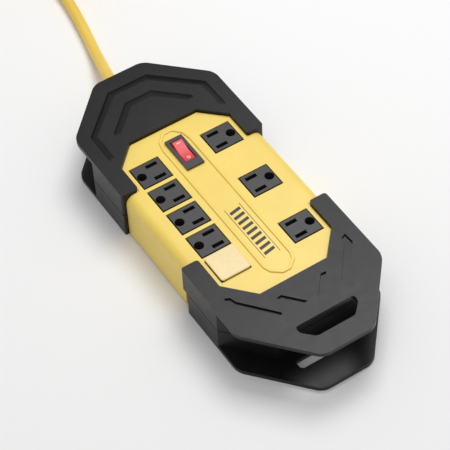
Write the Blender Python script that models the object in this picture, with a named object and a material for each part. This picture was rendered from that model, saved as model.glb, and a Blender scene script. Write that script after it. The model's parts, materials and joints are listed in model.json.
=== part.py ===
"""An eight-outlet safety power strip with a yellow case, black end bumpers and a coiled lead.

Frame: +X across the strip, +Y along it towards the lead, +Z up.  The origin is below the middle of
the strip, on the surface that it stands on.  Everything is in metres.
"""

import math

import bmesh
import bpy
from mathutils import Matrix, Vector

MM = 0.001
GAP = 0.3 * MM  # clearance between touching pieces

# Bumpers: plan outlines of the two ends, each an octagon's half
BUMPER_SIDE = 60.5 * MM
BUMPER_END = 150 * MM
BUMPER_TOP = 43 * MM
BUMPER_TIP = 20.8 * MM  # half-width of the end edge
CORD_SHOULDER = 110 * MM  # where the side turns into the diagonal
HANDLE_SHOULDER = 103.5 * MM
CORD_LEG_END = 44 * MM
HANDLE_LEG_END = 34.5 * MM
LOWER_LEG_SETBACK = 7 * MM  # the lower handle bumper's legs stop short of the upper ones
PLATE = 3.5 * MM
WALL = 3 * MM
SEAM_GAP = 0.6 * MM
WINDOW_SIDE = 46.5 * MM  # the opening that frames the case
CORD_WINDOW = (67.7 * MM, 28.7 * MM, 85.5 * MM)  # chamfer start, tip half-width, end
HANDLE_WINDOW = (62.5 * MM, 27.7 * MM, 83.5 * MM)
WRAP_DEPTH = 16 * MM  # how far the cord-wrap recess goes in under the flanges
CORD_WALL_END = BUMPER_END - WRAP_DEPTH
HANDLE_WALL_END = 112 * MM  # the wall behind the hand hole
RECESS_SIDE = 50 * MM
WALL_TURN_IN = 24 * MM  # where the side wall turns in, before the shoulder
HAND_HOLE = [(-24, -120.3), (-24, -126), (-15.5, -134.6), (15.5, -134.6), (24, -126), (24, -120.3)]

# Case
CASE_TOP = 40 * MM
CASE_SIDE = 57.5 * MM
CASE_NARROW = 52 * MM  # under the bumpers
CASE_BOTTOM = 1.2 * MM
CASE_SHOULDER = BUMPER_TOP - PLATE - GAP
CASE_LIFT = PLATE + 0.4 * MM
CASE_WALL = 2.5 * MM
CASE_EDGE = 7 * MM  # radius along the case's top edges
BASE_PLATE = 2.5 * MM

# Outlets
OUTLET_X = 30.3 * MM
OUTLET_PITCH = 25.4 * MM
OUTLET_FIRST_Y = 53.5 * MM
OUTLET_WIDE = 24.2 * MM
OUTLET_HIGH = 21.8 * MM
OUTLET_TOP = CASE_TOP + 0.2 * MM
OUTLET_DEPTH = 10 * MM
BLADE_SPREAD = 6.35 * MM
BLADE_INWARD = 4 * MM
GROUND_OUTWARD = 7.9 * MM
SLOT_WIDTH = 2.2 * MM
HOT_SLOT = 7.1 * MM
NEUTRAL_SLOT = 8.7 * MM
GROUND_RADIUS = 3.1 * MM
LEFT_COUNT = 5
RIGHT_COUNT = 3

# Contact strips
STRIP_Z = 18 * MM
STRIP_THICK = 0.8 * MM
CLIP_TOP = 28.5 * MM

# Outlet cover
COVER_Y = OUTLET_FIRST_Y - 4 * OUTLET_PITCH + 0.9 * MM
COVER_SIZE = 24 * MM
COVER_THICK = 1.5 * MM

# Rocker switch
SWITCH_X = -0.4 * MM
SWITCH_Y = 55.8 * MM
SWITCH_WIDE = 14.4 * MM
SWITCH_LONG = 31.8 * MM
BEZEL_TOP = CASE_TOP + 2 * MM
ROCKER_Y = 57.5 * MM
ROCKER_Z = 37 * MM
ROCKER_WIDE = 8.7 * MM
ROCKER_LONG = 20.3 * MM
ROCKER_TILT = math.radians(8)
PIN_RADIUS = 1 * MM

# Lead
LEAD_RADIUS = 4.5 * MM
EXIT_Z = 21.5 * MM
RELIEF_START = 118 * MM
ROUTE = [
    (0, 152.4, 21.5), (0, 154.5, 21.5), (1.2, 163, 20.4), (3.4, 175, 17), (6.4, 190, 11.8), (9.2, 204, 7.4),
    (12.4, 218, 5.1), (17, 238, 4.6), (21.6, 258, 4.6), (25.2, 276, 4.6), (26.2, 290, 5.1), (26, 297, 5.7),
]
COIL_CENTRE = Vector((76, 346, 0)) * MM
COIL_MIDDLE = 48 * MM
COIL_HALF_WIDTH = 14.5 * MM
COIL_LOW = 1.6 * MM
COIL_HIGH = 38.6 * MM
TIE_ANGLE = math.radians(-35)
PLUG_NECK = Vector((51, 388, 51)) * MM
PLUG_HEADING = math.radians(20)
TAIL = [(25.8, 366.9, 43.4), (30.6, 373.8, 44.2), (36.5, 379.7, 46.6), (42.6, 384.1, 49.6),
        (47.7, 386.8, 51), (50.6, 387.85, 51)]


def clear_scene():
    for old in list(bpy.data.objects):
        bpy.data.objects.remove(old, do_unlink=True)


def material(name, colour, roughness, metallic=0.0):
    made = bpy.data.materials.new(name)
    made.use_nodes = True
    shader = made.node_tree.nodes["Principled BSDF"]
    shader.inputs["Base Color"].default_value = (*colour, 1)
    shader.inputs["Roughness"].default_value = roughness
    shader.inputs["Metallic"].default_value = metallic
    return made


def finish_mesh(name, build, finish=None):
    """Makes an object from a bmesh, with its faces pointing out."""
    bmesh.ops.recalc_face_normals(build, faces=build.faces)
    mesh = bpy.data.meshes.new(name)
    build.to_mesh(mesh)
    build.free()
    made = bpy.data.objects.new(name, mesh)
    bpy.context.collection.objects.link(made)
    if finish:
        mesh.materials.append(finish)
    return made


def prism(name, outline, low, high, finish=None):
    """A solid of one plan outline between two heights."""
    build = bmesh.new()
    points = [build.verts.new((x, y, low)) for x, y in outline]
    face = build.faces.new(points)
    raised = bmesh.ops.extrude_face_region(build, geom=[face])["geom"]
    moved = [item for item in raised if isinstance(item, bmesh.types.BMVert)]
    bmesh.ops.translate(build, verts=moved, vec=(0, 0, high - low))
    return finish_mesh(name, build, finish)


def box(name, low, high, finish=None):
    outline = [(low[0], low[1]), (high[0], low[1]), (high[0], high[1]), (low[0], high[1])]
    return prism(name, outline, low[2], high[2], finish)


def slab_along(name, outline, axis, start, end, finish=None):
    """A solid of one cross-section run along X or Y; outline points are (other axis, z)."""
    build = bmesh.new()
    if axis == "Y":
        points = [build.verts.new((a, start, z)) for a, z in outline]
        shift = (0, end - start, 0)
    else:
        points = [build.verts.new((start, a, z)) for a, z in outline]
        shift = (end - start, 0, 0)
    face = build.faces.new(points)
    raised = bmesh.ops.extrude_face_region(build, geom=[face])["geom"]
    moved = [item for item in raised if isinstance(item, bmesh.types.BMVert)]
    bmesh.ops.translate(build, verts=moved, vec=shift)
    return finish_mesh(name, build, finish)


def turned(name, profile, centre, direction=(0, 0, 1), finish=None, segments=16):
    """A turned piece: profile points are (radius, distance along the direction)."""
    build = bmesh.new()
    rings = []
    turn = Vector((0, 0, 1)).rotation_difference(Vector(direction)).to_matrix().to_4x4()
    place = Matrix.Translation(centre) @ turn
    for radius, along in profile:
        ring = []
        for step in range(segments):
            angle = 2 * math.pi * step / segments
            point = Vector((radius * math.cos(angle), radius * math.sin(angle), along))
            ring.append(build.verts.new(place @ point))
        rings.append(ring)
    for first, second in zip(rings, rings[1:]):
        for step in range(segments):
            after = (step + 1) % segments
            build.faces.new((first[step], first[after], second[after], second[step]))
    build.faces.new(rings[0])
    build.faces.new(rings[-1])
    made = finish_mesh(name, build, finish)
    made.data.shade_smooth()
    made.data.set_sharp_from_angle(angle=math.radians(35))
    return made


def combine(target, others, operation="UNION"):
    """Joins or cuts with other solids, which are then removed."""
    for other in others:
        change = target.modifiers.new("change", "BOOLEAN")
        change.operation = operation
        change.object = other
        bpy.context.view_layer.update()
        depsgraph = bpy.context.evaluated_depsgraph_get()
        mesh = bpy.data.meshes.new_from_object(target.evaluated_get(depsgraph))
        target.modifiers.clear()
        target.data = mesh
        bpy.data.objects.remove(other, do_unlink=True)
    return target


def cut(target, others):
    return combine(target, others, "DIFFERENCE")


def tube(name, points, radius, finish, resolution=2):
    """A curve object with a round bevel and closed ends."""
    curve = bpy.data.curves.new(name, "CURVE")
    curve.dimensions = "3D"
    curve.bevel_depth = radius
    curve.bevel_resolution = resolution
    curve.use_fill_caps = True
    spline = curve.splines.new("POLY")
    spline.points.add(len(points) - 1)
    for slot, point in zip(spline.points, points):
        slot.co = (*point, 1)
    curve.materials.append(finish)
    made = bpy.data.objects.new(name, curve)
    bpy.context.collection.objects.link(made)
    return made


def smooth_line(points, step):
    """Points about a step apart on a smooth curve through the given ones (Catmull-Rom)."""
    ends = [points[0] * 2 - points[1]] + points + [points[-1] * 2 - points[-2]]
    line = []
    for before, start, end, after in zip(ends, ends[1:], ends[2:], ends[3:]):
        pieces = max(1, round((end - start).length / step))
        for piece in range(pieces):
            t = piece / pieces
            line.append(
                0.5 * (2 * start + (end - before) * t
                       + (2 * before - 5 * start + 4 * end - after) * t**2
                       + (3 * start - before - 3 * end + after) * t**3)
            )
    return line + [points[-1]]


def mirrored(points):
    """A right-hand run of outline points and its mirror image, as one closed outline."""
    return points + [(-x, y) for x, y in reversed(points)]


def flange_normal(shoulder):
    """The outward direction of a flange's diagonal, and its distance from the origin."""
    normal = Vector((BUMPER_END - shoulder, BUMPER_SIDE - BUMPER_TIP)).normalized()
    return normal, normal.x * BUMPER_SIDE + normal.y * shoulder


def inset_end(shoulder, side, end, inset):
    """Right-hand corners of an end outline: side meets diagonal, diagonal meets end."""
    normal, reach = flange_normal(shoulder)
    reach -= inset
    return [(side, (reach - side * normal.x) / normal.y), ((reach - end * normal.y) / normal.x, end)]


def towards(sign, points):
    return [(x, sign * y) for x, y in points]


def window_outline(sign, window, leg_end, shrink=0.0):
    start, tip, end = window
    side = WINDOW_SIDE - shrink
    right = [(side, leg_end), (side, start), (tip - shrink / 2, end - shrink)]
    return mirrored(towards(sign, right))


def recess_corners(shoulder, wall_end, inset):
    """Right-hand corners of the recess wall, or of an outline further in."""
    return inset_end(shoulder, RECESS_SIDE - inset, wall_end - inset, WRAP_DEPTH + inset)


def bumper(name, sign, shoulder, leg_end, window, wall_end, low, high, finish):
    """One bumper shell: flange plate, side walls along its legs and the wall of the wrap recess."""
    top_shell = high > CASE_TOP
    plate_low, plate_high = (high - PLATE, high) if top_shell else (low, low + PLATE)
    wall_low, wall_high = (low, high - PLATE / 2) if top_shell else (low + PLATE / 2, high)
    outer = [(BUMPER_SIDE, leg_end), (BUMPER_SIDE, shoulder), (BUMPER_TIP, BUMPER_END)]
    shell = prism(name, mirrored(towards(sign, outer)), plate_low, plate_high, finish)
    turn_in = shoulder - WALL_TURN_IN
    rim = [(BUMPER_SIDE, leg_end), (BUMPER_SIDE, turn_in), *recess_corners(shoulder, wall_end, 0)]
    wall = prism("wall", mirrored(towards(sign, rim)), wall_low, wall_high)
    hollow_side = CASE_NARROW + 0.4 * MM
    inner = [(hollow_side, leg_end - WALL), (hollow_side, leg_end + WALL)]
    inner += [(BUMPER_SIDE - WALL, leg_end + WALL), (BUMPER_SIDE - WALL, turn_in - WALL)]
    inner += recess_corners(shoulder, wall_end, WALL)
    hollow = prism("hollow", mirrored(towards(sign, inner)), low - PLATE, high + PLATE)
    combine(shell, [cut(wall, [hollow])])
    opening = window_outline(sign, window, leg_end - WALL)
    cut(shell, [prism("window", opening, low - PLATE, high + PLATE)])
    return shell


def bumpers(rubber):
    """The four bumper shells."""
    middle = BUMPER_TOP / 2
    levels = {"top": (middle + SEAM_GAP / 2, BUMPER_TOP), "bottom": (0.0, middle - SEAM_GAP / 2)}
    for label, heights in levels.items():
        shell = bumper(f"cord_end_{label}_bumper", 1, CORD_SHOULDER, CORD_LEG_END, CORD_WINDOW,
                       CORD_WALL_END, *heights, rubber)
        notch = [(7.2 * MM, 0), (7.2 * MM, 40 * MM)]
        cut(shell, [turned("notch", notch, (0, RELIEF_START, EXIT_Z), (0, 1, 0))])
        fasten(shell, label, 1)
        leg_end = HANDLE_LEG_END + (LOWER_LEG_SETBACK if label == "bottom" else 0)
        shell = bumper(f"handle_end_{label}_bumper", -1, HANDLE_SHOULDER, leg_end, HANDLE_WINDOW,
                       HANDLE_WALL_END, *heights, rubber)
        hole = [(x * MM, y * MM) for x, y in HAND_HOLE]
        cut(shell, [prism("hand_hole", hole, -PLATE, BUMPER_TOP + PLATE)])
        fasten(shell, label, -1)


def bumper_screw_places():
    return [(-34 * MM, 99 * MM), (34 * MM, 99 * MM), (-36 * MM, -92 * MM), (36 * MM, -92 * MM)]


def fasten(shell, label, sign):
    """Blind bosses under a top shell's plate, or countersunk holes through a bottom shell's."""
    for x, y in bumper_screw_places():
        if y * sign < 0:
            continue
        if label == "top":
            boss = [(3.8 * MM, 27 * MM), (3.8 * MM, BUMPER_TOP - 1 * MM)]
            combine(shell, [turned("boss", boss, (x, y, 0))])
            bore = [(2 * MM, 20 * MM), (2 * MM, BUMPER_TOP - 3 * MM)]
            cut(shell, [turned("bore", bore, (x, y, 0))])
        else:
            seat = [(4 * MM, -1 * MM), (4 * MM, 2.1 * MM), (2 * MM, 2.2 * MM), (2 * MM, 10 * MM)]
            cut(shell, [turned("seat", seat, (x, y, 0))])


def case_outline(narrow, wide, trim):
    """The case's plan outline: octagonal ends, and a wider middle between the bumper legs."""
    cord_end = CORD_LEG_END - max(0.4 * MM, trim)
    handle_end = HANDLE_LEG_END - max(0.4 * MM, trim)
    inset = WALL + trim
    cord = [(narrow, CORD_SHOULDER - WALL_TURN_IN + WALL - trim / 2)]
    cord += recess_corners(CORD_SHOULDER, CORD_WALL_END, inset)
    handle = [(narrow, HANDLE_SHOULDER - WALL_TURN_IN + WALL - trim / 2)]
    handle += recess_corners(HANDLE_SHOULDER, HANDLE_WALL_END, inset)
    right = towards(-1, reversed(handle))
    right += [(narrow, -handle_end), (wide, -handle_end), (wide, cord_end), (narrow, cord_end)]
    return mirrored(right + cord)


def case_body(yellow):
    """The upper case: a deep cover with a raised middle, open below."""
    core = case_outline(CASE_NARROW, CASE_NARROW, 0.4 * MM)
    case = prism("upper_case", core, CASE_LIFT, CASE_SHOULDER, yellow)
    section = [(-CASE_SIDE, CASE_BOTTOM), (CASE_SIDE, CASE_BOTTOM)]
    section += [
        (CASE_SIDE - CASE_EDGE + CASE_EDGE * math.cos(a), CASE_TOP - CASE_EDGE + CASE_EDGE * math.sin(a))
        for a in (math.radians(22.5 * step) for step in range(5))
    ]
    section += [(-x, z) for x, z in reversed(section[2:])]
    low_y, high_y = -HANDLE_LEG_END + 0.4 * MM, CORD_LEG_END - 0.4 * MM
    middle = slab_along("middle", section, "Y", low_y, high_y)
    platforms = [
        prism("platform", window_outline(1, CORD_WINDOW, 0, 0.6 * MM), CASE_SHOULDER - 2 * MM, CASE_TOP),
        prism("platform", window_outline(-1, HANDLE_WINDOW, 0, 0.6 * MM), CASE_SHOULDER - 2 * MM, CASE_TOP),
    ]
    combine(case, [middle, *platforms])
    inside = case_outline(CASE_NARROW - CASE_WALL, CASE_SIDE - CASE_WALL - 1 * MM, 0.4 * MM + CASE_WALL)
    cut(case, [prism("inside", inside, -1 * MM, CASE_SHOULDER - CASE_WALL)])
    for x, y in case_screw_places():
        combine(case, [turned("post", [(3.6 * MM, 7.5 * MM), (3.6 * MM, CASE_SHOULDER - 1 * MM)], (x, y, 0))])
        cut(case, [turned("bore", [(1.9 * MM, 5 * MM), (1.9 * MM, 24 * MM)], (x, y, 0))])
    for x, y in bumper_screw_places():
        cut(case, [turned("way", [(4.3 * MM, 30 * MM), (4.3 * MM, 45 * MM)], (x, y, 0))])
    for x, y in outlet_places():
        half = Vector((OUTLET_WIDE / 2 + GAP, OUTLET_HIGH / 2 + GAP))
        cut(case, [box("window", (x - half.x, y - half.y, 30 * MM), (x + half.x, y + half.y, 45 * MM))])
    wide, long = SWITCH_WIDE / 2 - 1 * MM, SWITCH_LONG / 2 - 1 * MM
    low = (SWITCH_X - wide, SWITCH_Y - long, 30 * MM)
    cut(case, [box("window", low, (SWITCH_X + wide, SWITCH_Y + long, 45 * MM))])
    way_out = turned("way", [(6.3 * MM, 0), (6.3 * MM, 30 * MM)], (0, RELIEF_START + 1 * MM, EXIT_Z), (0, 1, 0))
    return cut(case, [way_out])


def case_screw_places():
    return [(49.5 * MM, 30 * MM), (-49.5 * MM, 30 * MM), (49.5 * MM, -22 * MM), (-49.5 * MM, -22 * MM),
            (16 * MM, -96 * MM), (-16 * MM, -96 * MM)]


def base_cover(yellow):
    """The plate that closes the case from below."""
    outline = case_outline(CASE_NARROW - CASE_WALL - GAP, CASE_SIDE - CASE_WALL - 1.3 * MM, 0.7 * MM + CASE_WALL)
    base = prism("base_cover", outline, CASE_LIFT, CASE_LIFT + BASE_PLATE, yellow)
    wide = CASE_SIDE - CASE_WALL - 1.3 * MM
    low = (-wide, -HANDLE_LEG_END + 4 * MM, 1.5 * MM)
    combine(base, [box("pad", low, (wide, CORD_LEG_END - 4 * MM, CASE_LIFT + 1 * MM))])
    for x, y in case_screw_places():
        low_face = 1.5 * MM if y > -50 * MM else CASE_LIFT
        seat = [(3.5 * MM, -1 * MM), (3.5 * MM, low_face + 1.3 * MM), (1.9 * MM, low_face + 1.4 * MM),
                (1.9 * MM, 10 * MM)]
        cut(base, [turned("seat", seat, (x, y, 0))])
    for x, y in bumper_screw_places():
        cut(base, [turned("way", [(2.3 * MM, 2 * MM), (2.3 * MM, 10 * MM)], (x, y, 0))])
    return base


def screw(name, x, y, head_low, head_radius, shank_radius, tip, steel):
    """A screw seen from below: a slotted pan head with its shank going up."""
    head_high = head_low + 1.2 * MM
    profile = [(head_radius * 0.8, head_low), (head_radius, head_low + 0.5 * MM), (head_radius, head_high)]
    profile += [(shank_radius, head_high + 0.01 * MM), (shank_radius, tip - 1 * MM), (shank_radius * 0.4, tip)]
    made = turned(name, profile, (x, y, 0), (0, 0, 1), steel, 12)
    slot_low = (x - head_radius * 1.2, y - 0.4 * MM, head_low - 1 * MM)
    slot_high = (x + head_radius * 1.2, y + 0.4 * MM, head_low + 0.6 * MM)
    return cut(made, [box("slot", slot_low, slot_high)])


def screws(steel):
    """The screws of the case and of the bumpers."""
    for number, (x, y) in enumerate(case_screw_places(), 1):
        low_face = 1.5 * MM if y > -50 * MM else CASE_LIFT
        screw(f"case_screw_{number}", x, y, low_face, 3.1 * MM, 1.5 * MM, 22 * MM, steel)
    for number, (x, y) in enumerate(bumper_screw_places(), 1):
        screw(f"bumper_screw_{number}", x, y, 0.6 * MM, 3.6 * MM, 1.6 * MM, 38 * MM, steel)


def outlet_places():
    left = [(-OUTLET_X, OUTLET_FIRST_Y - OUTLET_PITCH * row) for row in range(LEFT_COUNT)]
    right = [(OUTLET_X, OUTLET_FIRST_Y - 2 * OUTLET_PITCH * row) for row in range(RIGHT_COUNT)]
    return left + right


def ground_outline(x, y, outward, grow=0.0):
    """The ground hole: round, with a flat on its outer side."""
    radius = GROUND_RADIUS + grow
    first, last, count = -135, 135, 9
    points = []
    for step in range(count):
        angle = math.radians(first + (last - first) * step / (count - 1))
        points.append((x - outward * radius * math.cos(angle), y + radius * math.sin(angle)))
    return points


def outlet(name, x, y, dark):
    """A grounded outlet: a block with two blade slots and a ground hole through it."""
    outward = math.copysign(1, x)
    low = (x - OUTLET_WIDE / 2, y - OUTLET_HIGH / 2, OUTLET_TOP - OUTLET_DEPTH)
    block = box(name, low, (x + OUTLET_WIDE / 2, y + OUTLET_HIGH / 2, OUTLET_TOP), dark)
    below, above = OUTLET_TOP - OUTLET_DEPTH - 1 * MM, OUTLET_TOP + 1 * MM
    slot_x = x - outward * BLADE_INWARD
    for side, length in ((-outward, NEUTRAL_SLOT), (outward, HOT_SLOT)):
        slot_y = y + side * BLADE_SPREAD
        half = Vector((length / 2, SLOT_WIDTH / 2))
        low, high = (slot_x - half.x, slot_y - half.y, below), (slot_x + half.x, slot_y + half.y, above)
        cut(block, [box("slot", low, high)])
    ground = ground_outline(x + outward * GROUND_OUTWARD, y, outward)
    return cut(block, [prism("ground", ground, below, above)])


def outlets(dark):
    for number, (x, y) in enumerate(outlet_places(), 1):
        side = "left" if x < 0 else "right"
        count = number if x < 0 else number - LEFT_COUNT
        outlet(f"outlet_{side}_{count}", x, y, dark)


def contact_strip(name, side, rows, along_x, clip_x, clip_shift, leaf_gap, leaf_wide, brass):
    """A strip along a column of outlets, with a pair of spring leaves under each hole."""
    half = 2.2 * MM
    ends = (min(rows) + clip_shift - 6 * MM, max(rows) + clip_shift + 6 * MM)
    x = side * along_x
    strip = box(name, (x - half, ends[0], STRIP_Z), (x + half, ends[1], STRIP_Z + STRIP_THICK), brass)
    near = side * clip_x
    for row in rows:
        y = row + clip_shift
        reach = leaf_gap / 2 + STRIP_THICK
        low_x, high_x = min(x, near - leaf_wide / 2), max(x, near + leaf_wide / 2)
        finger = box("finger", (low_x, y - reach, STRIP_Z), (high_x, y + reach, STRIP_Z + STRIP_THICK))
        combine(strip, [finger])
        for edge in (-1, 1):
            inner, outer = y + edge * leaf_gap / 2, y + edge * reach
            low = (near - leaf_wide / 2, min(inner, outer), STRIP_Z + STRIP_THICK / 2)
            combine(strip, [box("leaf", low, (near + leaf_wide / 2, max(inner, outer), CLIP_TOP))])
    return strip


def contact_strips(brass):
    """Line, neutral and ground strips under both columns."""
    left = [y for x, y in outlet_places() if x < 0]
    right = [y for x, y in outlet_places() if x > 0]
    slot_x = OUTLET_X - BLADE_INWARD
    for label, side, rows in (("left", -1, left), ("right", 1, right)):
        hot = side * BLADE_SPREAD
        contact_strip(f"neutral_strip_{label}", side, rows, 18.5 * MM, slot_x, -hot, 1.3 * MM, 6 * MM, brass)
        contact_strip(f"line_strip_{label}", side, rows, 33 * MM, slot_x, hot, 1.3 * MM, 5 * MM, brass)
        contact_strip(f"ground_strip_{label}", side, rows, 40.5 * MM, OUTLET_X + GROUND_OUTWARD, 0, 4.4 * MM,
                      4 * MM, brass)


def outlet_cover(tan):
    """The lift-off cover over the fifth outlet of the long column, with its three prongs."""
    low = Vector((-OUTLET_X - COVER_SIZE / 2, COVER_Y - COVER_SIZE / 2, OUTLET_TOP + GAP))
    high = low + Vector((COVER_SIZE, COVER_SIZE, COVER_THICK))
    cover = box("outlet_cover", low, high, tan)
    row = OUTLET_FIRST_Y - 4 * OUTLET_PITCH
    slot_x = -OUTLET_X + BLADE_INWARD
    for edge in (-1, 1):
        y = row + edge * BLADE_SPREAD
        prong_low = (slot_x - 3 * MM, y - 0.7 * MM, OUTLET_TOP - 8 * MM)
        combine(cover, [box("prong", prong_low, (slot_x + 3 * MM, y + 0.7 * MM, low.z + COVER_THICK / 2))])
    ground = turned("prong", [(1.7 * MM, OUTLET_TOP - 8 * MM), (1.7 * MM, low.z + COVER_THICK / 2)],
                    (-OUTLET_X - GROUND_OUTWARD, row, 0), segments=10)
    return combine(cover, [ground])


def switch(dark, red, steel, brass, glass):
    """The lighted rocker switch: housing with bezel, rocker, pin, lamp and terminals."""
    half = Vector((SWITCH_WIDE / 2, SWITCH_LONG / 2))
    low = (SWITCH_X - half.x, SWITCH_Y - half.y, CASE_TOP + GAP)
    housing = box("switch_housing", low, (SWITCH_X + half.x, SWITCH_Y + half.y, BEZEL_TOP), dark)
    body = half - Vector((1, 1)) * (1.3 * MM)
    body_low = (SWITCH_X - body.x, SWITCH_Y - body.y, 20 * MM)
    combine(housing, [box("body", body_low, (SWITCH_X + body.x, SWITCH_Y + body.y, CASE_TOP + 1 * MM))])
    well = Vector((ROCKER_WIDE / 2 + GAP, ROCKER_LONG / 2 + 0.8 * MM))
    well_low = (SWITCH_X - well.x, ROCKER_Y - well.y, 23 * MM)
    cut(housing, [box("well", well_low, (SWITCH_X + well.x, ROCKER_Y + well.y, BEZEL_TOP + 1 * MM))])
    pin_reach = ROCKER_WIDE / 2 + 0.8 * MM
    bore = turned("bore", [(PIN_RADIUS + GAP, -pin_reach - GAP), (PIN_RADIUS + GAP, pin_reach + GAP)],
                  (SWITCH_X, ROCKER_Y, ROCKER_Z), (1, 0, 0), segments=12)
    cut(housing, [bore])
    rocker(red)
    turned("rocker_pin", [(PIN_RADIUS, -pin_reach), (PIN_RADIUS, pin_reach)],
           (SWITCH_X, ROCKER_Y, ROCKER_Z), (1, 0, 0), steel, 12)
    lamp = [(0.6 * MM, 0), (1.8 * MM, 1.2 * MM), (1.8 * MM, 8 * MM), (0.6 * MM, 9.2 * MM)]
    turned("indicator_lamp", lamp, (SWITCH_X, ROCKER_Y - 4.6 * MM, 26 * MM), (0, 1, 0), glass, 10)
    for number, y in enumerate((46, 56, 66), 1):
        low = (SWITCH_X - 3 * MM, (y - 0.4) * MM, 12 * MM)
        box(f"switch_terminal_{number}", low, (SWITCH_X + 3 * MM, (y + 0.4) * MM, 20 * MM - GAP), brass)


def rocker(red):
    """The rocker, modelled at its pin and tilted with its far half up."""
    half = ROCKER_LONG / 2
    rise, crown = 6.0 * MM, 4.4 * MM
    tip = half - 0.5 * MM
    section = [(-tip, rise), (-half, rise - 3 * MM), (-3.4 * MM, -4.5 * MM), (3.4 * MM, -4.5 * MM),
               (half, rise - 3 * MM), (tip, rise), (0, crown)]
    wide = ROCKER_WIDE / 2
    made = slab_along("rocker", section, "X", -wide, wide, red)
    bore = [(PIN_RADIUS + GAP, -wide - 1 * MM), (PIN_RADIUS + GAP, wide + 1 * MM)]
    cut(made, [turned("bore", bore, (0, 0, 0), (1, 0, 0), segments=12)])
    made.location = (SWITCH_X, ROCKER_Y, ROCKER_Z)
    made.rotation_euler = (ROCKER_TILT, 0, 0)
    return made


def leads(black, white, green):
    """The wires inside the case, from the lead's entry to the switch and the strips."""
    radius = 1.4 * MM
    runs = {
        "line_lead": ([(0, 116, 26), (0, 104, 26), (-3, 88, 24), (-2, 76, 16), (-1, 69, 14)], black),
        "neutral_lead": ([(-4, 116, 21), (-5, 104, 20), (-12, 88, 15), (-18, 74, 15)], white),
        "ground_lead": ([(4, 116, 21), (6, 106, 18), (12, 98, 12), (28, 84, 11), (40.5, 66, 14)], green),
        "line_lead_left": ([(-1, 43, 14), (-4, 38, 12), (-18, 36, 11), (-29, 38, 13), (-33, 42, 15)], black),
        "line_lead_right": ([(1, 53, 14), (6, 52, 12), (18, 50, 11), (29, 52, 13), (33, 55, 15)], black),
        "neutral_lead_cross": ([(-18.5, 8, 15), (-12, 8, 12), (0, 8, 11), (12, 8, 12), (18.5, 8, 15)], white),
        "ground_lead_cross": ([(-40.5, -62, 15), (-34, -64, 10), (0, -66, 9), (34, -60, 10), (40.5, -50, 15)],
                              green),
    }
    for name, (points, finish) in runs.items():
        line = smooth_line([Vector(point) * MM for point in points], 6 * MM)
        tube(name, line, radius, finish, 1)


def strain_relief(yellow_rubber):
    """The moulded strain relief, held in the case's and the bumpers' walls."""
    profile = [(4.7, 0), (4.7, 2), (5.6, 3), (5.6, 12.5), (6.6, 13), (6.6, 15), (5.9, 15.5), (5.0, 34)]
    profile = [(radius * MM, along * MM) for radius, along in profile]
    turned("strain_relief", profile, (0, RELIEF_START, EXIT_Z), (0, 1, 0), yellow_rubber)


def lead(yellow_rubber, brass, band):
    """The lead outside: its tube, coil, tie, tail and plug."""
    line = smooth_line([Vector(point) * MM for point in ROUTE], 11 * MM)
    tube("power_cord", line, LEAD_RADIUS, yellow_rubber, 2)
    inner, outer = COIL_MIDDLE - COIL_HALF_WIDTH, COIL_MIDDLE + COIL_HALF_WIDTH
    round_off = 5 * MM
    coil = turned("cord_coil", [(outer - round_off, COIL_LOW), (outer, COIL_LOW + round_off),
                                (outer, COIL_HIGH - round_off), (outer - round_off, COIL_HIGH)],
                  COIL_CENTRE, (0, 0, 1), yellow_rubber, 48)
    cut(coil, [turned("hole", [(inner, -5 * MM), (inner, 60 * MM)], COIL_CENTRE, segments=48)])
    tie(inner, outer, band)
    tube("cord_tail", smooth_line([Vector(point) * MM for point in TAIL], 8 * MM), LEAD_RADIUS, yellow_rubber, 2)
    plug(yellow_rubber, brass)


def tie(inner, outer, band):
    """A strap around the coil's winding."""
    turn = Matrix.Translation(COIL_CENTRE) @ Matrix.Rotation(TIE_ANGLE, 4, "Z")
    thick = 1.2 * MM
    near, far = inner - 1.2 * MM, outer + 0.4 * MM
    strap = box("coil_tie", (near - thick, -6 * MM, 0), (far + thick, 6 * MM, COIL_HIGH + GAP + thick), band)
    core = box("core", (near, -9 * MM, thick), (far, 9 * MM, COIL_HIGH + GAP))
    cut(strap, [core])
    strap.data.transform(turn)


def plug(yellow_rubber, brass):
    """The moulded plug, lying on the coil with its prongs pointing on round the coil."""
    face = 42 * MM
    profile = [(5.6, 0), (6.2, 8), (7.5, 17), (10.5, 25), (12, 28), (12, 41), (11.5, 42)]
    profile = [(radius * MM, along * MM) for radius, along in profile]
    pieces = [turned("plug_body", profile, (0, 0, 0), (1, 0, 0), yellow_rubber, 16)]
    for name, side in (("plug_blade_line", 1), ("plug_blade_neutral", -1)):
        at = side * BLADE_SPREAD
        low, high = (face + GAP, at - 0.75 * MM, -1 * MM), (face + 16 * MM, at + 0.75 * MM, 5.3 * MM)
        pieces.append(box(name, low, high, brass))
    pin = [(2.3 * MM, 0), (2.3 * MM, 17 * MM), (1.2 * MM, 19 * MM)]
    pieces.append(turned("plug_ground_pin", pin, (face + GAP, 0, -6.5 * MM), (1, 0, 0), brass, 12))
    place = Matrix.Translation(PLUG_NECK) @ Matrix.Rotation(PLUG_HEADING, 4, "Z")
    for piece in pieces:
        piece.data.transform(place)


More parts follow.
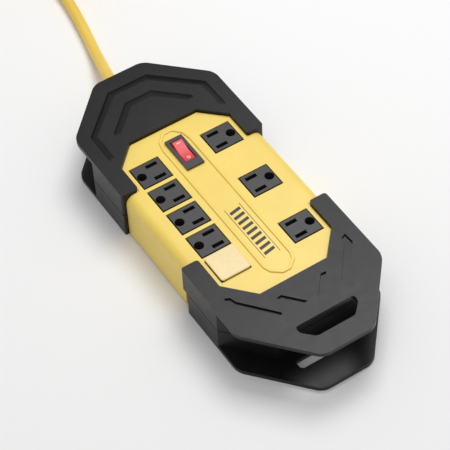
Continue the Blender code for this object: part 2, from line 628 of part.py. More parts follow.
def build():
    clear_scene()
    yellow = material("yellow_plastic", (0.9, 0.66, 0.15), 0.45)
    rubber = material("black_rubber", (0.035, 0.035, 0.037), 0.6)
    dark = material("dark_plastic", (0.06, 0.06, 0.062), 0.5)
    tan = material("tan_plastic", (0.86, 0.7, 0.4), 0.4)
    red = material("red_plastic", (0.75, 0.02, 0.03), 0.25)
    cord_yellow = material("yellow_jacket", (0.86, 0.6, 0.12), 0.5)
    brass = material("brass", (0.7, 0.5, 0.2), 0.3, 1.0)
    steel = material("steel", (0.6, 0.6, 0.6), 0.35, 1.0)
    glass = material("lamp_glass", (0.9, 0.5, 0.3), 0.1)
    black = material("black_wire", (0.03, 0.03, 0.03), 0.5)
    white = material("white_wire", (0.8, 0.8, 0.8), 0.5)
    green = material("green_wire", (0.05, 0.4, 0.1), 0.5)
    case_body(yellow)
    base_cover(yellow)
    bumpers(rubber)
    screws(steel)
    outlets(dark)
    contact_strips(brass)
    outlet_cover(tan)
    switch(dark, red, steel, brass, glass)
    leads(black, white, green)
    strain_relief(cord_yellow)
    lead(cord_yellow, brass, rubber)


build()
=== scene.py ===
import json
import math

import bmesh
import bpy
from mathutils import Matrix, Vector


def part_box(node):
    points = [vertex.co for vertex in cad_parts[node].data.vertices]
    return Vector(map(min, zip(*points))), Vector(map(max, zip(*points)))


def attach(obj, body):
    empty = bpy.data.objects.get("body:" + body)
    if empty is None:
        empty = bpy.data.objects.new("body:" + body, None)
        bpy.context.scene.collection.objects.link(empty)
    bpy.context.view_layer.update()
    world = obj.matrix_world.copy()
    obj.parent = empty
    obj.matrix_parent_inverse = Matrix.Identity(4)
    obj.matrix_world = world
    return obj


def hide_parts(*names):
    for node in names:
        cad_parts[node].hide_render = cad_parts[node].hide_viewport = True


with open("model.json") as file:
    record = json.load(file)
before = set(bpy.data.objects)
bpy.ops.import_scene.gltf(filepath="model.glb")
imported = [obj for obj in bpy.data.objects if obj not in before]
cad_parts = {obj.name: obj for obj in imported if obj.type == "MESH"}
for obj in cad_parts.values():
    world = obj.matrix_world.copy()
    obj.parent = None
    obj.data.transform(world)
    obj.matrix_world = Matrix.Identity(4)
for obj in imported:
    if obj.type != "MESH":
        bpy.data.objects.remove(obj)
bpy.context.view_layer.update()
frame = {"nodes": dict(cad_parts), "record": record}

MM = 0.001

# Scales of the surface patterns
DRIFT_SCALE = 35
SPECK_SCALE = 420
GLOSS_SCALE = 160
GRAIN_SCALE = 2200
WEAVE_SCALE = 700
GRAIN_HEIGHT = 0.1 * MM
SPECK_TINT = (0.55, 0.5, 0.45, 1)

# Case and bumpers, as in the frame
CASE_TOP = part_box("outlet_left_1")[1].z - 0.2 * MM
BUMPER_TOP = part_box("cord_end_top_bumper")[1].z
PLATE = 3.5 * MM
BEVEL_ANGLE = math.radians(35)
SHARP_ANGLE = math.radians(50)
FLAT_ANGLE = math.radians(0.5)
CORNER_SEGMENTS = 5
TURNED_SEGMENTS = 48

# Panel and its print: a row of slanted bars between two rules, in millimetres
PANEL_HALF_WIDTH = 12.6
BAR_COUNT = 9
BAR_STEP = 5.4
BAR_START = -56
BAR_HALF = 4.6
BAR_SLANT = 1.6
BAR_WIDE = 2.6
RULE_PLACES = (-6.4, 6.0)
RULE_ENDS = (-58, -6)
RULE_WIDE = 0.4

# Steps and recesses in the upper bumper shells
GROOVE_FOOT = 0.2
GROOVE_SLOPE = 0.85
GROOVE_FADE = 0.1
GROOVE_RISE = 0.45
RECESS_WALL = 1.3 * MM
RECESS_DEPTH = 2.8 * MM
RECESS_FLOOR = 1.6 * MM

# Outlet faces
BLADE_SPREAD = 6.35 * MM
BLADE_INWARD = 4 * MM
GROUND_OUTWARD = 7.6 * MM
SLOT_LONG = 9.2 * MM
SLOT_WIDE = 3.1 * MM
GROUND_RADIUS = 3.6 * MM
RIM = 0.75 * MM
GAP_DEPTH = 2.5 * MM

# Rocker, about its pin
ROCKER_PIN = Vector((-0.4, 57.5, 37)) * MM
ROCKER_TILT = math.radians(8)
ROCKER_CROWN = 4.4 * MM
ROCKER_SLOPE = math.atan2(1.6, 9.65)
MARK_LOW = -0.15 * MM
MARK_HIGH = 0.1 * MM
STROKE_HALF = Vector((1.7, 0.4)) * MM
RING_OUTER = 1.3 * MM
RING_INNER = 0.8 * MM
STROKE_ALONG = 7.2 * MM
RING_ALONG = -7 * MM

# Camera
CAMERA_PLACE = Vector((-442.74, -746.34, 1064.88)) * MM
CAMERA_AIM = Vector((-4.5, -3.1, 20)) * MM
CAMERA_ROLL = math.radians(-3.22)
CAMERA_LENS = 151.8
CAMERA_SENSOR = 36
CAMERA_CLIP = 0.05

# Lead: ROUTE is the stretch that isn't coiled, in millimetres
LEAD_RADIUS = 4.5 * MM
ROUTE = [
    (0, 152.4, 21.5), (0.2, 157, 21.4), (0.9, 163, 20.8), (3.4, 175, 17.9), (7.4, 190, 12.4), (11, 204, 7.9),
    (14.4, 218, 5.4), (18.8, 238, 4.6), (22.4, 258, 4.6), (25, 276, 4.6), (26.1, 290, 5.1), (26, 297, 5.5),
    (24.9, 308, 5.9), (22.9, 319, 6.1), (20.9, 329, 6.1),
]
COIL_CENTRE = Vector((76, 346)) * MM
COIL_MIDDLE = 48 * MM
LAYER_STEP = 9.4 * MM
COIL_FLOOR = 6.1 * MM
COIL_ROOF = 34.2 * MM
COIL_START = math.radians(190)
LAYER_TURNS = 3.0
STEP_TURNS = 0.38
INNER_TURNS = 1.9456
LAST_TURNS = 0.35
POINTS_PER_TURN = 24
TOP_RADIUS = 54.4 * MM
TOP_HEIGHT = 43.4 * MM
TAIL_CENTRE = Vector((64.75, 347.9)) * MM
TAIL_RADIUS = 43 * MM
TAIL_SHARE = 0.446  # the tail's length as a share of the last turn's
TAIL_POINTS = 8
PLUG_NECK = Vector((51, 388, 51)) * MM
PLUG_HEADING = math.radians(20)
TAIL_FIRST = math.radians(170)
TAIL_LAST = math.radians(110)
TOP_SHARE = 0.8  # where in the last turn the lead has climbed on to the coil
LINE_STEP = 3 * MM

# Room: place, size and power of each light
KEY_LIGHT = ((0.5, 0.36, 1.35), 0.75, 11.5)
TOP_LIGHT = ((-0.3, -0.2, 1.9), 1.2, 6)
WORLD_STRENGTH = 0.4
FLOOR_COLOUR = (0.93, 0.93, 0.93, 1)


# ---------------------------------------------------------------- materials

def moulded(name, colour, roughness, grain=1.0, drift=0.06, coat=0.0, speckle=0.0, glow=0.0, shine=0.5):
    """A moulded plastic or rubber: fine grain, slow colour drift and uneven gloss."""
    made = bpy.data.materials.new(name)
    made.use_nodes = True
    nodes, links = made.node_tree.nodes, made.node_tree.links
    shader = nodes["Principled BSDF"]
    shader.inputs["Specular IOR Level"].default_value = shine
    shader.inputs["Coat Weight"].default_value = coat
    shader.inputs["Coat Roughness"].default_value = 0.15
    shader.inputs["Transmission Weight"].default_value = glow
    place = nodes.new("ShaderNodeTexCoord").outputs["Object"]

    def noise(scale, detail):
        node = nodes.new("ShaderNodeTexNoise")
        node.inputs["Scale"].default_value = scale
        node.inputs["Detail"].default_value = detail
        links.new(place, node.inputs["Vector"])
        return node.outputs["Fac"]

    tint = nodes.new("ShaderNodeValToRGB")
    tint.color_ramp.elements[0].position = 0.3
    tint.color_ramp.elements[1].position = 0.7
    tint.color_ramp.elements[0].color = (*[c * (1 - drift) for c in colour], 1)
    tint.color_ramp.elements[1].color = (*[min(1, c * (1 + drift)) for c in colour], 1)
    links.new(noise(DRIFT_SCALE, 3), tint.inputs["Fac"])
    specks = nodes.new("ShaderNodeMix")
    specks.data_type = "RGBA"
    specks.blend_type = "MULTIPLY"
    mottle = nodes.new("ShaderNodeMapRange")
    mottle.inputs["From Min"].default_value = 0.55
    mottle.inputs["From Max"].default_value = 0.75
    mottle.inputs["To Max"].default_value = speckle
    links.new(noise(SPECK_SCALE, 4), mottle.inputs["Value"])
    links.new(mottle.outputs["Result"], specks.inputs["Factor"])
    links.new(tint.outputs["Color"], specks.inputs["A"])
    specks.inputs["B"].default_value = SPECK_TINT
    links.new(specks.outputs["Result"], shader.inputs["Base Color"])
    gloss = nodes.new("ShaderNodeMapRange")
    gloss.inputs["To Min"].default_value = roughness * 0.85
    gloss.inputs["To Max"].default_value = min(1, roughness * 1.15)
    links.new(noise(GLOSS_SCALE, 2), gloss.inputs["Value"])
    links.new(gloss.outputs["Result"], shader.inputs["Roughness"])
    bump = nodes.new("ShaderNodeBump")
    bump.inputs["Strength"].default_value = 0.25 * grain
    bump.inputs["Distance"].default_value = GRAIN_HEIGHT
    links.new(noise(GRAIN_SCALE, 2), bump.inputs["Height"])
    links.new(bump.outputs["Normal"], shader.inputs["Normal"])
    return made


def metal(name, colour, roughness, stretch=(1, 1, 12)):
    """Stamped or plated metal with fine drawn streaks."""
    made = moulded(name, colour, roughness, 0.4, 0.1)
    nodes, links = made.node_tree.nodes, made.node_tree.links
    nodes["Principled BSDF"].inputs["Metallic"].default_value = 1.0
    place = nodes["Texture Coordinate"].outputs["Object"]
    drawn = nodes.new("ShaderNodeMapping")
    drawn.inputs["Scale"].default_value = stretch
    links.new(place, drawn.inputs["Vector"])
    for node in nodes:
        if node.bl_idname == "ShaderNodeTexNoise":
            links.new(drawn.outputs["Vector"], node.inputs["Vector"])
    return made


def woven(name, colour):
    """Hook-and-loop strap: a fine crossed weave."""
    made = moulded(name, colour, 0.85, 2.0, 0.15)
    nodes, links = made.node_tree.nodes, made.node_tree.links
    wave = nodes.new("ShaderNodeTexWave")
    wave.inputs["Scale"].default_value = WEAVE_SCALE
    wave.inputs["Distortion"].default_value = 2
    links.new(nodes["Texture Coordinate"].outputs["Object"], wave.inputs["Vector"])
    links.new(wave.outputs["Color"], nodes["Bump"].inputs["Height"])
    nodes["Principled BSDF"].inputs["Sheen Weight"].default_value = 0.3
    return made


def make_materials():
    """The record's materials by slot, and two more for the marks and the print."""
    return {
        "yellow_case": moulded("case_yellow", (0.92, 0.68, 0.14), 0.42, 0.8, 0.03, coat=0.1),
        "black_bumper": moulded("bumper_black", (0.009, 0.009, 0.01), 0.36, 1.4, 0.2, speckle=0.1, shine=0.3),
        "grey_outlet": moulded("outlet_grey", (0.034, 0.034, 0.036), 0.45, 1.0, 0.1),
        "contact_brass": metal("brass_contact", (0.62, 0.42, 0.16), 0.35),
        "plug_metal": metal("brass_blade", (0.78, 0.62, 0.32), 0.22, (12, 1, 1)),
        "tan_cover": moulded("cover_tan", (0.86, 0.68, 0.33), 0.35, 0.5, 0.04, coat=0.2, speckle=0.14),
        "switch_housing": moulded("switch_grey", (0.03, 0.03, 0.032), 0.4, 0.8, 0.1),
        "red_rocker": moulded("rocker_red", (0.74, 0.006, 0.012), 0.34, 0.15, 0.12, glow=0.05),
        "steel": metal("steel_plated", (0.6, 0.6, 0.6), 0.32),
        "lamp_glass": moulded("lamp_amber", (0.95, 0.5, 0.2), 0.08, 0.1, 0.1, glow=0.8),
        "black_wire": moulded("wire_black", (0.02, 0.02, 0.02), 0.4, 0.6, 0.1),
        "white_wire": moulded("wire_white", (0.75, 0.75, 0.73), 0.4, 0.6, 0.03),
        "green_wire": moulded("wire_green", (0.03, 0.28, 0.08), 0.4, 0.6, 0.08),
        "yellow_jacket": moulded("jacket_yellow", (0.88, 0.6, 0.1), 0.4, 1.0, 0.04),
        "tie_band": woven("band_black", (0.03, 0.03, 0.032)),
        "mark_white": moulded("mark_pale", (0.75, 0.72, 0.7), 0.5, 0.3, 0.02),
        "print_black": moulded("print_black", (0.03, 0.03, 0.03), 0.5, 0.5, 0.1),
    }


MATERIALS = make_materials()


# ---------------------------------------------------------------- mesh tools

def new_object(name, build, finish=None):
    """Turns a bmesh into an object in the scene."""
    bmesh.ops.recalc_face_normals(build, faces=build.faces)
    mesh = bpy.data.meshes.new(name)
    build.to_mesh(mesh)
    build.free()
    made = bpy.data.objects.new(name, mesh)
    bpy.context.collection.objects.link(made)
    if finish:
        mesh.materials.append(MATERIALS[finish])
    return made


def stack(name, rings, finish=None):
    """A solid skinned over rings of equal length."""
    build = bmesh.new()
    made = [[build.verts.new(point) for point in ring] for ring in rings]
    count = len(rings[0])
    for first, second in zip(made, made[1:]):
        for step in range(count):
            after = (step + 1) % count
            build.faces.new((first[step], first[after], second[after], second[step]))
    build.faces.new(made[0])
    build.faces.new(made[-1])
    return new_object(name, build, finish)


def prism(name, outline, low, high, finish=None):
    """An upright solid over a plan outline, between two heights."""
    return stack(name, [[(x, y, z) for x, y in outline] for z in (low, high)], finish)


def box(name, low, high, finish=None):
    """A box between two corners."""
    outline = [(low[0], low[1]), (high[0], low[1]), (high[0], high[1]), (low[0], high[1])]
    return prism(name, outline, low[2], high[2], finish)


def turned(name, profile, centre, direction=(0, 0, 1), finish=None):
    """A turned piece: profile points are (radius, distance along the direction)."""
    turn = Vector((0, 0, 1)).rotation_difference(Vector(direction)).to_matrix().to_4x4()
    place = Matrix.Translation(centre) @ turn
    angles = [2 * math.pi * step / TURNED_SEGMENTS for step in range(TURNED_SEGMENTS)]
    rings = []
    for r, along in profile:
        rings.append([place @ Vector((r * math.cos(a), r * math.sin(a), along)) for a in angles])
    return stack(name, rings, finish)


def combine(target, others, operation="UNION"):
    """Joins other solids to the target and removes them."""
    for other in others:
        change = target.modifiers.new("change", "BOOLEAN")
        change.operation = operation
        change.object = other
        bpy.context.view_layer.update()
        depsgraph = bpy.context.evaluated_depsgraph_get()
        mesh = bpy.data.meshes.new_from_object(target.evaluated_get(depsgraph))
        target.modifiers.clear()
        target.data = mesh
        bpy.data.objects.remove(other, do_unlink=True)
    return target


def cut(target, others):
    """Takes other solids out of the target and removes them."""
    return combine(target, others, "DIFFERENCE")


def copy_of(node, name, finish):
    """A new piece with a CAD node's shape."""
    build = bmesh.new()
    build.from_mesh(frame["nodes"][node].data)
    build.transform(frame["nodes"][node].matrix_world)
    bmesh.ops.remove_doubles(build, verts=build.verts, dist=0.01 * MM)
    return new_object(name, build, finish)


def soften(piece, width, segments=3, whole_flats=True):
    """Rounds a piece's edges and shades it smooth with its flats kept flat."""
    if whole_flats:
        build = bmesh.new()
        build.from_mesh(piece.data)
        bmesh.ops.dissolve_limit(build, angle_limit=FLAT_ANGLE, verts=build.verts, edges=build.edges)
        build.to_mesh(piece.data)
        build.free()
    if width:
        edge = piece.modifiers.new("edges", "BEVEL")
        edge.width = width
        edge.segments = segments
        edge.limit_method = "ANGLE"
        edge.angle_limit = BEVEL_ANGLE
        edge.miter_outer = "MITER_ARC"
    piece.data.shade_smooth()
    piece.data.set_sharp_from_angle(angle=SHARP_ANGLE)
    flats = piece.modifiers.new("flats", "WEIGHTED_NORMAL")
    flats.keep_sharp = True
    return piece


def round_corners(piece, places, radius):
    """Rounds the upright edges that stand at the given plan places (mm), on both sides of the strip."""
    spots = [Vector((side * x * MM, y * MM)) for x, y in places for side in (-1, 1)]
    build = bmesh.new()
    build.from_mesh(piece.data)
    bmesh.ops.dissolve_limit(build, angle_limit=FLAT_ANGLE, verts=build.verts, edges=build.edges)
    upright = []
    for edge in build.edges:
        low, high = edge.verts[0].co, edge.verts[1].co
        stands = (low.xy - high.xy).length < 0.02 * MM
        if stands and any((low.xy - spot).length < 0.3 * MM for spot in spots):
            upright.append(edge)
    bmesh.ops.bevel(build, geom=upright, offset=radius, offset_type="OFFSET", segments=CORNER_SEGMENTS,
                    profile=0.5, affect="EDGES")
    build.to_mesh(piece.data)
    build.free()
    return piece


def mirrored(points):
    """The points, and the same ones across the middle plane in reverse order."""
    return points + [(-x, y) for x, y in reversed(points)]


def in_mm(points):
    """Points given in millimetres, in metres."""
    return [tuple(value * MM for value in point) for point in points]


def settle(piece, body, slot, *nodes):
    """Puts a piece on its body and hides the CAD nodes that it stands for; the slot argument is not used."""
    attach(piece, body)
    if nodes:
        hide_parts(*nodes)
    return piece


# ---------------------------------------------------------------- case

def panel_outline(inset):
    """The long panel's outline, the same distance further in all round."""
    right = [
        (3.4 - inset * 0.4, -76 + inset),
        (10.4 - inset * 0.8, -70.2 + inset * 0.6),
        (PANEL_HALF_WIDTH - inset, -64.5 + inset * 0.3),
        (PANEL_HALF_WIDTH - inset, 66 - inset * 0.2),
        (11 - inset * 0.95, 74.5 - inset * 0.4),
        (4.4 - inset * 0.5, 81.7 - inset),
    ]
    return in_mm(mirrored(right))


def ridge(outer, inner, low, high):
    """A raised line between two panel outlines."""
    ring = prism("ridge", panel_outline(outer), low, high)
    return cut(ring, [prism("inner", panel_outline(inner), low - 1 * MM, high + 1 * MM)])


def case():
    """The yellow case: the CAD shell with fine edges, and the raised band of the long panel."""
    shell = copy_of("upper_case", "yellow_case_shell", "yellow_case")
    soften(shell, 0.45 * MM, 2, whole_flats=False)
    settle(shell, "housing", "yellow_case", "upper_case")
    band = ridge(0, 2.6, CASE_TOP - 0.6 * MM, CASE_TOP + 1.0 * MM)
    band.name = "panel_band"
    band.data.materials.clear()
    band.data.materials.append(MATERIALS["yellow_case"])
    soften(band, 0.75 * MM, 4)
    settle(band, "housing", "yellow_case")


def panel_print():
    """A plain printed pattern: slanted bars between two thin rules."""
    low, high = CASE_TOP - 0.05 * MM, CASE_TOP + 0.08 * MM
    bars = []
    for number in range(BAR_COUNT):
        y = BAR_START + BAR_STEP * number
        outline = in_mm([(-BAR_HALF, y), (BAR_HALF, y + BAR_SLANT), (BAR_HALF, y + BAR_SLANT + BAR_WIDE),
                         (-BAR_HALF, y + BAR_WIDE)])
        bars.append(prism("bar", outline, low, high, "print_black"))
    for x in RULE_PLACES:
        start = (x * MM, RULE_ENDS[0] * MM, low)
        end = ((x + RULE_WIDE) * MM, RULE_ENDS[1] * MM, high)
        bars.append(box("rule", start, end, "print_black"))
    merged = bars[0]
    build = bmesh.new()
    for bar in bars:
        build.from_mesh(bar.data)
    build.to_mesh(merged.data)
    build.free()
    for bar in bars[1:]:
        bpy.data.objects.remove(bar, do_unlink=True)
    merged.name = "panel_print"
    settle(merged, "housing", "black_bumper")


# ---------------------------------------------------------------- bumpers

def groove(outer, inner, depth):
    """A cutter for a step that runs round the cord end: steep outside, a slope inside."""
    top = BUMPER_TOP + 2 * MM
    build = bmesh.new()
    outer_line = in_mm(mirrored(outer))
    inner_line = in_mm(mirrored(inner))
    last = len(outer_line) - 1
    rows = []
    for index, (far, near) in enumerate(zip(outer_line, inner_line)):
        fade = GROOVE_FADE if index in (0, last) else 1
        foot = [f + (n - f) * GROOVE_FOOT for f, n in zip(far, near)]
        slope = [f + (n - f) * GROOVE_SLOPE for f, n in zip(far, near)]
        rows.append([build.verts.new((*far, top)), build.verts.new((*far, BUMPER_TOP)),
                     build.verts.new((*foot, BUMPER_TOP - depth * fade)),
                     build.verts.new((*slope, BUMPER_TOP - depth * fade * GROOVE_RISE)),
                     build.verts.new((*near, BUMPER_TOP)), build.verts.new((*near, top))])
    for first, second in zip(rows, rows[1:]):
        for step in range(6):
            after = (step + 1) % 6
            build.faces.new((first[step], first[after], second[after], second[step]))
    build.faces.new(rows[0])
    build.faces.new(rows[-1])
    return new_object("groove", build)


def inset_outline(outline, width):
    """The outline of a face, moved in by the same width all round."""
    build = bmesh.new()
    face = build.faces.new([build.verts.new((x, y, 0)) for x, y in outline])
    bmesh.ops.inset_region(build, faces=[face], thickness=width, use_even_offset=True)
    inner = [(vert.co.x, vert.co.y) for vert in face.verts]
    build.free()
    return inner


def bumpers():
    """The four bumper shells, with the steps and recesses of the upper ones."""
    cord_corners = [(20.8, 150), (60.5, 110), (60.5, 44), (46.5, 44)]
    handle_corners = [(20.8, -150), (60.5, -103.5), (60.5, -34.5), (46.5, -34.5), (24, -120.3), (24, -126),
                      (15.5, -134.6)]
    cord_top = copy_of("cord_end_top_bumper", "cord_end_upper_bumper_shell", "black_bumper")
    round_corners(cord_top, cord_corners[:2], 5 * MM)
    round_corners(cord_top, cord_corners[2:], 2.2 * MM)
    steps = [
        ([(50, 77.5), (50, 105.5), (16.8, 137)], [(45.2, 80), (45.2, 103.5), (14.2, 131.8)], 1.5 * MM),
        ([(36, 97.5), (33.4, 100), (11.4, 121)], [(29, 96.5), (27, 98.5), (8.8, 115.4)], 1.3 * MM),
    ]
    for outer, inner, depth in steps:
        cut(cord_top, [groove(outer, inner, depth)])
    handle_top = copy_of("handle_end_top_bumper", "handle_end_upper_bumper_shell", "black_bumper")
    round_corners(handle_top, handle_corners[:2], 5 * MM)
    round_corners(handle_top, handle_corners[2:], 2.2 * MM)
    long_slot = [(46.3, -75), (50, -73.2), (50.6, -82), (30, -106.6), (25, -106.8), (24.3, -105),
                 (44.8, -80)]
    short_slot = [(16.3, -92.6), (20.7, -93), (9, -107.1), (4, -106.9)]
    for outline in (long_slot, short_slot):
        for side in (-1, 1):
            places = in_mm([(side * x, y) for x, y in outline])
            trench = prism("recess", places, BUMPER_TOP - RECESS_DEPTH, BUMPER_TOP + 1 * MM)
            middle = inset_outline(places, RECESS_WALL)
            floor = prism("floor", middle, BUMPER_TOP - 3 * MM, BUMPER_TOP - RECESS_FLOOR)
            cut(handle_top, [cut(trench, [floor])])
    cord_low = copy_of("cord_end_bottom_bumper", "cord_end_lower_bumper_shell", "black_bumper")
    handle_low = copy_of("handle_end_bottom_bumper", "handle_end_lower_bumper_shell", "black_bumper")
    round_corners(cord_low, cord_corners[:2], 5 * MM)
    round_corners(handle_low, handle_corners[:2], 5 * MM)
    web = in_mm([(-30, -128), (30, -128), (22, -140), (-22, -140)])
    combine(handle_low, [prism("web", web, 0.1 * MM, PLATE - 0.1 * MM)])
    nodes = ("cord_end_top_bumper", "handle_end_top_bumper", "cord_end_bottom_bumper",
             "handle_end_bottom_bumper")
    for shell, node in zip((cord_top, handle_top, cord_low, handle_low), nodes):
        soften(shell, 0.9 * MM, 3)
        settle(shell, "housing", "black_bumper", node)


# ---------------------------------------------------------------- outlets, cover and switch

def outlets():
    """The outlets: faces with a gap all round, blade slots and a ground hole."""
    for side, count in (("left", 5), ("right", 3)):
        for number in range(1, count + 1):
            node = f"outlet_{side}_{number}"
            face = copy_of(node, f"{node}_face", "grey_outlet")
            low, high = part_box(node)
            middle = (low + high) / 2
            outward = math.copysign(1, middle.x)
            for edge in (-1, 1):
                slot = Vector((middle.x - outward * BLADE_INWARD, middle.y + edge * BLADE_SPREAD))
                half = Vector((SLOT_LONG, SLOT_WIDE)) / 2
                cut(face, [box("slot", (*(slot - half), low.z - 1 * MM), (*(slot + half), high.z + 1 * MM))])
            ground = Vector((middle.x + outward * GROUND_OUTWARD, middle.y, 0))
            hole = turned("hole", [(GROUND_RADIUS, low.z - 1 * MM), (GROUND_RADIUS, high.z + 1 * MM)], ground)
            cut(face, [hole])
            gap_low = Vector((low.x - RIM, low.y - RIM, high.z - GAP_DEPTH))
            trench = box("trench", gap_low, high + Vector((RIM, RIM, 1 * MM)))
            island = box("island", low + Vector((RIM, RIM, 0)), high + Vector((-RIM, -RIM, 2 * MM)))
            cut(face, [cut(trench, [island])])
            soften(face, 0.18 * MM, 2)
            settle(face, "housing", "grey_outlet", node)


def cover():
    """The tan cover plate, with rounded corners."""
    plate = copy_of("outlet_cover", "tan_outlet_cover", "tan_cover")
    round_corners(plate, [(42.3, -35.2), (42.3, -59.2), (18.3, -35.2), (18.3, -59.2)], 2 * MM)
    soften(plate, 0.5 * MM, 3)
    settle(plate, "outlet_cover", "tan_cover", "outlet_cover")


def switch():
    """The bezel, and the rocker with a plain dash and ring for its marks."""
    bezel = copy_of("switch_housing", "switch_bezel", "switch_housing")
    soften(bezel, 0.7 * MM, 3)
    settle(bezel, "housing", "switch_housing", "switch_housing")
    lens = copy_of("rocker", "rocker_lens", "red_rocker")
    soften(lens, 0.5 * MM, 3)
    settle(lens, "rocker", "red_rocker", "rocker")
    stroke = box("rocker_mark_on", (*-STROKE_HALF, MARK_LOW), (*STROKE_HALF, MARK_HIGH), "mark_white")
    edge = [(RING_OUTER, MARK_LOW), (RING_OUTER, MARK_HIGH)]
    ring = turned("rocker_mark_off", edge, Vector(), finish="mark_white")
    cut(ring, [turned("hole", [(RING_INNER, MARK_LOW * 2), (RING_INNER, MARK_HIGH * 2)], Vector())])
    for mark, along in ((stroke, STROKE_ALONG), (ring, RING_ALONG)):
        slope = Matrix.Rotation(math.copysign(ROCKER_SLOPE, along), 4, "X")
        rise = ROCKER_CROWN + abs(along) * math.tan(ROCKER_SLOPE)
        place = Matrix.Translation(ROCKER_PIN) @ Matrix.Rotation(ROCKER_TILT, 4, "X")
        mark.data.transform(place @ Matrix.Translation((0, along, rise)) @ slope)
        settle(mark, "rocker", "red_rocker")


# ---------------------------------------------------------------- lead

def eased(share):
    """A smooth step from 0 to 1 that is level at both ends."""
    share = min(1, max(0, share))
    return share * share * (3 - 2 * share)


def coil_points():
    """The winding: up the outer layer, down the middle one, up the inner one and out over the top."""
    layers = [COIL_MIDDLE + LAYER_STEP, COIL_MIDDLE, COIL_MIDDLE - LAYER_STEP]
    spans = []
    for layer, (radius, turns) in enumerate(zip(layers, (LAYER_TURNS, LAYER_TURNS, INNER_TURNS))):
        ends = (COIL_FLOOR, COIL_ROOF) if layer % 2 == 0 else (COIL_ROOF, COIL_FLOOR)
        spans.append((turns, (radius, radius), ends))
        if layer < 2:
            spans.append((STEP_TURNS, (radius, radius - LAYER_STEP), (ends[1], ends[1])))
    line = []
    angle = COIL_START
    for turns, (start_radius, end_radius), (start_z, end_z) in spans:
        pieces = round(turns * POINTS_PER_TURN)
        for step in range(pieces):
            share = step / pieces
            radius = start_radius + (end_radius - start_radius) * eased(share)
            z = start_z + (end_z - start_z) * share
            line.append((angle - 2 * math.pi * turns * share, radius, z))
        angle -= 2 * math.pi * turns
    pieces = round(LAST_TURNS * POINTS_PER_TURN)
    for step in range(pieces):
        share = step / pieces
        radius = layers[2] + (TOP_RADIUS - layers[2]) * eased(share)
        line.append((angle - 2 * math.pi * LAST_TURNS * share, radius, last_height(share)))
    points = []
    for angle, radius, z in line:
        x = COIL_CENTRE.x + radius * math.cos(angle)
        y = COIL_CENTRE.y + radius * math.sin(angle)
        points.append(Vector((x, y, z)))
    return points


def last_height(share):
    """The height over the last turn, up to a share of 1, and then along the tail."""
    on_top = (TOP_HEIGHT - COIL_ROOF) * eased(share / TOP_SHARE)
    to_plug = (PLUG_NECK.z - TOP_HEIGHT) * eased((share - TOP_SHARE) / (1 - TOP_SHARE + TAIL_SHARE))
    return COIL_ROOF + on_top + to_plug


def tail_points():
    """An arc from the top of the coil to the plug's neck."""
    points = []
    for step in range(TAIL_POINTS + 1):
        share = step / TAIL_POINTS
        angle = TAIL_FIRST + (TAIL_LAST - TAIL_FIRST) * share
        x = TAIL_CENTRE.x + TAIL_RADIUS * math.cos(angle)
        y = TAIL_CENTRE.y + TAIL_RADIUS * math.sin(angle)
        points.append(Vector((x, y, last_height(1 + share * TAIL_SHARE))))
    return points


def smooth_line(points, step):
    """Points about a step apart on a smooth curve through the given ones (Catmull-Rom)."""
    ends = [points[0] * 2 - points[1]] + points + [points[-1] * 2 - points[-2]]
    line = []
    for before, start, end, after in zip(ends, ends[1:], ends[2:], ends[3:]):
        pieces = max(1, round((end - start).length / step))
        for piece in range(pieces):
            t = piece / pieces
            line.append(
                0.5 * (2 * start + (end - before) * t
                       + (2 * before - 5 * start + 4 * end - after) * t**2
                       + (3 * start - before - 3 * end + after) * t**3)
            )
    return line + [points[-1]]


def lead():
    """The whole lead, from the strain relief to the plug's neck."""
    points = [Vector(point) * MM for point in ROUTE] + coil_points() + tail_points()
    line = smooth_line(points, LINE_STEP)
    curve = bpy.data.curves.new("lead", "CURVE")
    curve.dimensions = "3D"
    curve.bevel_depth = LEAD_RADIUS
    curve.bevel_resolution = 6
    curve.use_fill_caps = True
    spline = curve.splines.new("POLY")
    spline.points.add(len(line) - 1)
    for spot, point in zip(spline.points, line):
        spot.co = (*point, 1)
    spline.use_smooth = True
    curve.materials.append(MATERIALS["yellow_jacket"])
    made = bpy.data.objects.new("lead", curve)
    bpy.context.collection.objects.link(made)
    return settle(made, "housing", "yellow_jacket", "power_cord", "cord_coil", "cord_tail")


def relief():
    """The strain relief: a tapered sleeve with flexing rings."""
    profile = [(4.75, 0), (4.75, 2), (5.6, 3), (5.6, 12.5), (6.6, 13), (6.6, 15), (5.9, 15.5)]
    for ring in range(4):
        start, radius = 17.2 + ring * 3.9, 5.85 - ring * 0.2
        profile += [(radius, start), (radius - 0.7, start + 0.4), (radius - 0.7, start + 1.3),
                    (radius - 0.1, start + 1.7)]
    profile += [(5.0, 33.2), (4.75, 34)]
    start = Vector((0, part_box("strain_relief")[0].y, 21.5 * MM))
    made = turned("relief_sleeve", in_mm(profile), start, (0, 1, 0), "yellow_jacket")
    soften(made, 0.2 * MM, 2)
    return settle(made, "housing", "yellow_jacket", "strain_relief")


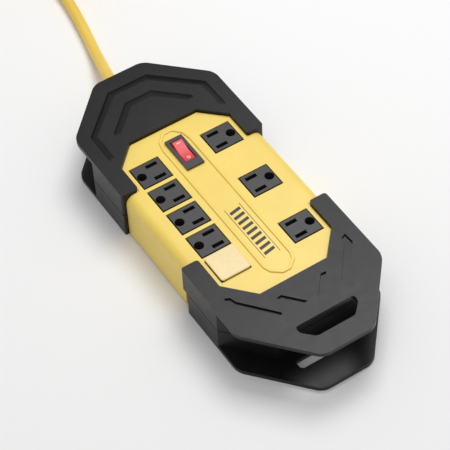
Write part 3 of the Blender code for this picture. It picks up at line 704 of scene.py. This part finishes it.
def plug():
    """The moulded plug: a waisted grip with ribs, a collar and a flat face."""
    profile = [(4.9, 0), (5.6, 0.6), (5.9, 4)]
    for ring in range(3):
        start = 5 + ring * 3.4
        grow = ring * 0.3
        profile += [(6.0 + grow, start), (5.3 + grow, start + 0.5), (5.3 + grow, start + 1.4),
                    (6.1 + grow, start + 1.9)]
    profile += [(7.5, 17), (9.2, 21), (10.6, 25), (11.9, 28), (12, 30), (12, 40.6), (11.6, 41.6),
                (10.9, 42)]
    made = turned("plug_grip", in_mm(profile), Vector(), (1, 0, 0), "yellow_jacket")
    flats = [box("flat", in_mm([(24, low, -20)])[0], in_mm([(39, high, 20)])[0])
             for low, high in ((-14.6, -10.6), (10.6, 14.6))]
    cut(made, flats)
    soften(made, 0.3 * MM, 3)
    made.data.transform(Matrix.Translation(PLUG_NECK) @ Matrix.Rotation(PLUG_HEADING, 4, "Z"))
    return settle(made, "housing", "yellow_jacket", "plug_body")


def blades():
    """The plug's two blades and its ground pin."""
    made = []
    for node in ("plug_blade_line", "plug_blade_neutral", "plug_ground_pin"):
        blade = soften(copy_of(node, f"{node}_metal", "plug_metal"), 0.25 * MM, 2)
        made.append(settle(blade, "housing", "plug_metal", node))
    return made


def tie():
    """The strap round the winding."""
    strap = soften(copy_of("coil_tie", "hook_and_loop_tie", "tie_band"), 0.35 * MM, 2)
    return settle(strap, "housing", "tie_band", "coil_tie")


def screws():
    """Screws with softened heads."""
    for node in [name for name in frame["nodes"] if "_screw_" in name]:
        made = soften(copy_of(node, f"{node}_plated", "steel"), 0.15 * MM, 2)
        settle(made, "housing", "steel", node)


# ---------------------------------------------------------------- room

def room():
    """A pale floor and soft studio light."""
    build = bmesh.new()
    bmesh.ops.create_grid(build, x_segments=1, y_segments=1, size=4)
    floor = new_object("floor", build)
    paper = bpy.data.materials.new("floor_paper")
    paper.use_nodes = True
    shader = paper.node_tree.nodes["Principled BSDF"]
    shader.inputs["Base Color"].default_value = FLOOR_COLOUR
    shader.inputs["Roughness"].default_value = 0.9
    floor.data.materials.append(paper)
    floor.location.z = -0.05 * MM
    world = bpy.data.worlds.new("studio")
    bpy.context.scene.world = world
    bpy.context.scene.view_settings.view_transform = "Standard"
    world.use_nodes = True
    world.node_tree.nodes["Background"].inputs["Color"].default_value = (1, 1, 1, 1)
    world.node_tree.nodes["Background"].inputs["Strength"].default_value = WORLD_STRENGTH
    area_light("key", *KEY_LIGHT)
    area_light("top", *TOP_LIGHT)


def area_light(name, place, size, power):
    """A square light that faces the strip."""
    light = bpy.data.lights.new(name, "AREA")
    light.size = size
    light.energy = power
    made = bpy.data.objects.new(name, light)
    bpy.context.collection.objects.link(made)
    made.location = place
    made.rotation_euler = (-Vector(place)).to_track_quat("-Z", "Y").to_euler()


def camera():
    """The camera that sees the strip as the reference view does."""
    lens = bpy.data.cameras.new("camera")
    lens.lens = CAMERA_LENS
    lens.sensor_width = CAMERA_SENSOR
    lens.clip_start = CAMERA_CLIP
    made = bpy.data.objects.new("camera", lens)
    bpy.context.collection.objects.link(made)
    look = (CAMERA_AIM - CAMERA_PLACE).to_track_quat("-Z", "Y").to_matrix().to_4x4()
    made.matrix_world = Matrix.Translation(CAMERA_PLACE) @ look @ Matrix.Rotation(CAMERA_ROLL, 4, "Z")
    bpy.context.scene.camera = made


def dress_frame():
    """Gives the CAD nodes that stay their materials."""
    slots = {part["node"]: part["material_slot"] for part in frame["record"]["subparts"]}
    for name, node in frame["nodes"].items():
        node.data.materials.clear()
        node.data.materials.append(MATERIALS[slots[name]])


camera()
dress_frame()
cord = lead()
sleeve = relief()
grip = plug()
metal_parts = blades()
strap = tie()
case()
panel_print()
bumpers()
outlets()
cover()
switch()
screws()
room()
